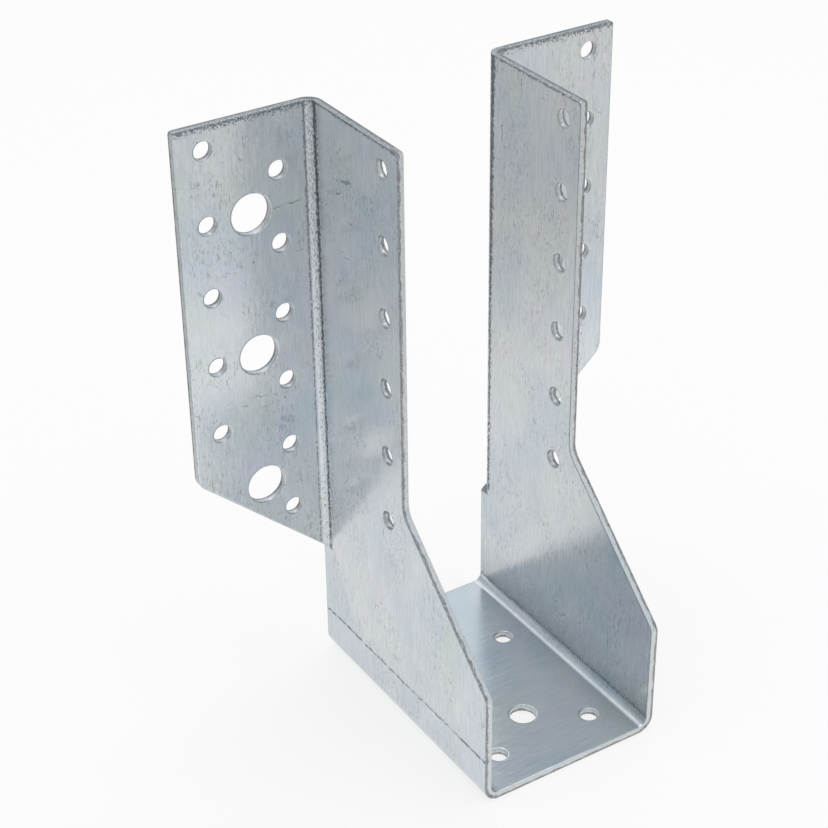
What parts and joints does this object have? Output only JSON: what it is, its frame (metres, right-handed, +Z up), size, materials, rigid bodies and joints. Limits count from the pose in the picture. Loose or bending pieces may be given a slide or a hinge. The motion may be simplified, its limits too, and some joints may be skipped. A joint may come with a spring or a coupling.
{
  "type": "joist hanger",
  "caption": "Joist hanger folded from galvanised sheet: a seat and tapering side plates cradle the joist, and outward wings with staggered nail and bolt holes fix it to a header.",
  "frame": {"origin": "middle of the footprint, on the underside of the seat", "axes": "+X across the joist, +Y towards the header behind the wings, +Z up along the side plates"},
  "size_m": [0.131, 0.08, 0.17],
  "materials": {
    "galvanised_sheet": "hot-dip galvanised sheet, satin, with fine rolling streaks and light handling scuffs"
  },
  "bodies": {
    "root": {"hanger": "galvanised_sheet"}
  },
  "joints": []
}
